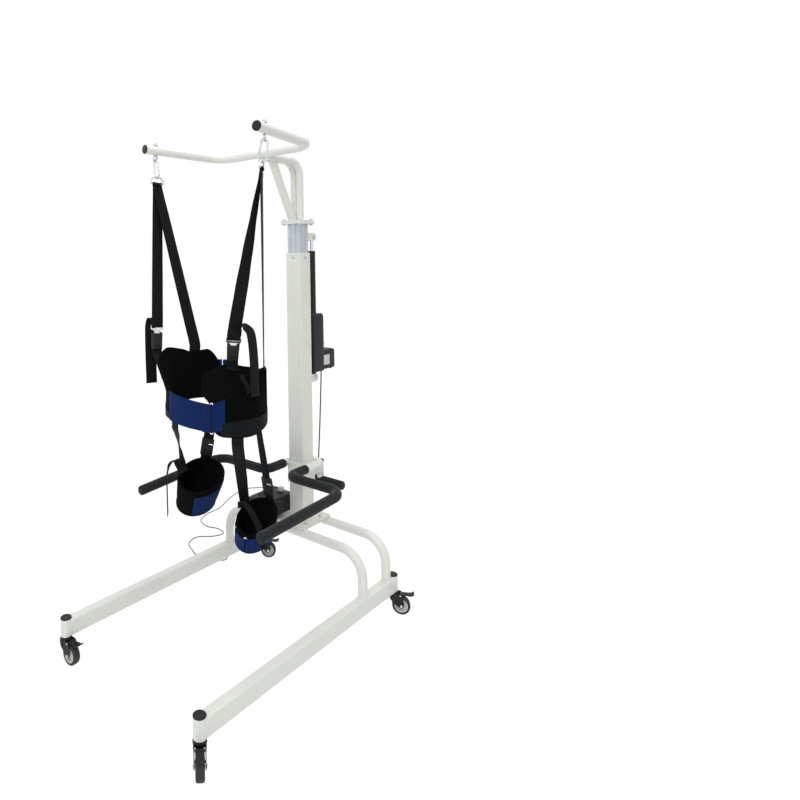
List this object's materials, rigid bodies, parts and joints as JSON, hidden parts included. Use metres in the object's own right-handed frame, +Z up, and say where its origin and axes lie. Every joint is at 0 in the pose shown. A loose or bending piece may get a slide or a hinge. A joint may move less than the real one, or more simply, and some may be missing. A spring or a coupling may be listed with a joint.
{
  "type": "gait trainer",
  "caption": "Body-weight-support gait trainer: castered frame, lifting mast, spreader bar with hanging harness, handlebars.",
  "frame": {"origin": "on the floor under the middle of the outline of the trainer without its charging lead", "axes": "+Z up, -Y forward the way the trainer walks, +X to the left of a walker who faces -Y"},
  "size_m": [1.5066, 1.9411, 2.0107],
  "materials": {
    "white_enamel": "gloss white enamel",
    "black_plastic": "fine satin black moulding",
    "grey_aluminium": "grey anodised extrusion",
    "zinc_steel": "zinc plated steel",
    "chrome": "polished",
    "foam": "matt black closed-cell foam",
    "web": "flat black webbing",
    "neoprene": "matt black neoprene with a knitted face",
    "blue_fabric": "blue loop tape",
    "tread": "grey-black tread on a pale hub",
    "nylon": "off-white nylon",
    "red_plastic": "red moulding",
    "cable": "matt black sheath"
  },
  "bodies": {
    "base": {"left_leg": "white_enamel", "right_leg": "white_enamel", "arch_frame": "white_enamel", "outer_mast": "white_enamel", "mast_guide_bush": "nylon", "control_box": "black_plastic", "charging_connector": "nylon", "charging_cable": "cable", "charging_plug": "cable", "actuator_tube": "black_plastic", "actuator_housing": "black_plastic", "actuator_cable": "cable", "lower_actuator_pin": "zinc_steel"},
    "lift": {"lifting_column": "grey_aluminium", "gooseneck": "white_enamel", "spreader_bar": "white_enamel", "left_spreader_plug": "black_plastic", "right_spreader_plug": "black_plastic", "left_eyebolt": "zinc_steel", "right_eyebolt": "zinc_steel", "actuator_rod": "chrome", "upper_actuator_pin": "zinc_steel"},
    "handlebars": {"handlebar_collar": "white_enamel", "handlebar_tube": "white_enamel", "left_handle_grip": "foam", "right_handle_grip": "foam", "push_handle_frame": "white_enamel", "push_handle_grip": "foam", "push_post_cap": "black_plastic"},
    "harness": {"left_carabiner": "zinc_steel", "right_carabiner": "zinc_steel", "left_d_ring": "zinc_steel", "right_d_ring": "zinc_steel", "left_hanger_strap": "web", "right_hanger_strap": "web", "left_buckle": "black_plastic", "right_buckle": "black_plastic", "left_belt_panel": "neoprene", "right_belt_panel": "neoprene", "front_closing_strap": "blue_fabric", "rear_closing_strap": "blue_fabric", "left_thigh_cuff": "neoprene", "right_thigh_cuff": "neoprene"},
    "left_front_caster": {"left_front_caster_fork": "black_plastic"},
    "left_front_wheel": {"left_front_caster_wheel": "tread"},
    "left_front_brake": {"left_front_brake_pedal": "black_plastic"},
    "left_rear_caster": {"left_rear_caster_fork": "black_plastic"},
    "left_rear_wheel": {"left_rear_caster_wheel": "tread"},
    "left_rear_brake": {"left_rear_brake_pedal": "black_plastic"},
    "right_front_caster": {"right_front_caster_fork": "black_plastic"},
    "right_front_wheel": {"right_front_caster_wheel": "tread"},
    "right_front_brake": {"right_front_brake_pedal": "black_plastic"},
    "right_rear_caster": {"right_rear_caster_fork": "black_plastic"},
    "right_rear_wheel": {"right_rear_caster_wheel": "tread"},
    "right_rear_brake": {"right_rear_brake_pedal": "black_plastic"},
    "left_gate": {"left_carabiner_gate": "zinc_steel"},
    "right_gate": {"right_carabiner_gate": "zinc_steel"},
    "left_button": {"left_buckle_button": "red_plastic"},
    "right_button": {"right_buckle_button": "red_plastic"}
  },
  "joints": [
    {"name": "mast_lift", "type": "slide", "parent": "base", "child": "lift", "axis": [0, 0, 1], "range_m": [-0.045, 0.35]},
    {"name": "handlebar_height", "type": "slide", "parent": "base", "child": "handlebars", "axis": [0, 0, 1], "range_m": [-0.04, 0.32]},
    {"name": "harness_swing", "type": "hinge", "parent": "lift", "child": "harness", "pos_m": [-0.03, -0.1685, 1.9365], "axis": [1, 0, 0], "range_deg": [-16, 4]},
    {"name": "left_front_swivel", "type": "hinge", "parent": "base", "child": "left_front_caster", "pos_m": [0.338, -0.578, 0.085], "axis": [0, 0, 1], "continuous": true},
    {"name": "left_front_roll", "type": "hinge", "parent": "left_front_caster", "child": "left_front_wheel", "pos_m": [0.36213, -0.60051, 0.0375], "axis": [0.682, 0.7314, 0], "continuous": true},
    {"name": "left_front_brake_press", "type": "hinge", "parent": "left_front_caster", "child": "left_front_brake", "pos_m": [0.35994, -0.59846, 0.0812], "axis": [0.682, 0.7314, 0], "range_deg": [0, 20]},
    {"name": "left_rear_swivel", "type": "hinge", "parent": "base", "child": "left_rear_caster", "pos_m": [0.338, 0.556, 0.085], "axis": [0, 0, 1], "continuous": true},
    {"name": "left_rear_roll", "type": "hinge", "parent": "left_rear_caster", "child": "left_rear_wheel", "pos_m": [0.36686, 0.572, 0.0375], "axis": [-0.4848, 0.8746, 0], "continuous": true},
    {"name": "left_rear_brake_press", "type": "hinge", "parent": "left_rear_caster", "child": "left_rear_brake", "pos_m": [0.36424, 0.57054, 0.0812], "axis": [-0.4848, 0.8746, 0], "range_deg": [0, 20]},
    {"name": "right_front_swivel", "type": "hinge", "parent": "base", "child": "right_front_caster", "pos_m": [-0.398, -0.578, 0.085], "axis": [0, 0, 1], "continuous": true},
    {"name": "right_front_roll", "type": "hinge", "parent": "right_front_caster", "child": "right_front_wheel", "pos_m": [-0.3651, -0.57541, 0.0375], "axis": [-0.0785, 0.9969, 0], "continuous": true},
    {"name": "right_front_brake_press", "type": "hinge", "parent": "right_front_caster", "child": "right_front_brake", "pos_m": [-0.36809, -0.57565, 0.0812], "axis": [-0.0785, 0.9969, 0], "range_deg": [0, 20]},
    {"name": "right_rear_swivel", "type": "hinge", "parent": "base", "child": "right_rear_caster", "pos_m": [-0.398, 0.556, 0.085], "axis": [0, 0, 1], "continuous": true},
    {"name": "right_rear_roll", "type": "hinge", "parent": "right_rear_caster", "child": "right_rear_wheel", "pos_m": [-0.37097, 0.57493, 0.0375], "axis": [-0.5736, 0.8192, 0], "continuous": true},
    {"name": "right_rear_brake_press", "type": "hinge", "parent": "right_rear_caster", "child": "right_rear_brake", "pos_m": [-0.37343, 0.57321, 0.0812], "axis": [-0.5736, 0.8192, 0], "range_deg": [0, 20]},
    {"name": "left_gate_open", "type": "hinge", "parent": "harness", "child": "left_gate", "pos_m": [0.25509, -0.17999, 1.88478], "axis": [-0.5, 0.866, 0], "range_deg": [0, 25], "stiffness_Nm_per_rad": 0.15, "springref_deg": -17.19},
    {"name": "right_gate_open", "type": "hinge", "parent": "harness", "child": "right_gate", "pos_m": [-0.31211, -0.17052, 1.88478], "axis": [0.0872, 0.9962, 0], "range_deg": [0, 25], "stiffness_Nm_per_rad": 0.15, "springref_deg": -17.19},
    {"name": "left_buckle_press", "type": "slide", "parent": "harness", "child": "left_button", "axis": [-0.3564, 0.2916, -0.8877], "range_m": [0, 0.003], "stiffness_N_per_m": 800, "springref_m": -0.002},
    {"name": "right_buckle_press", "type": "slide", "parent": "harness", "child": "right_button", "axis": [0.1347, -0.1212, -0.9834], "range_m": [0, 0.003], "stiffness_N_per_m": 800, "springref_m": -0.002}
  ]
}
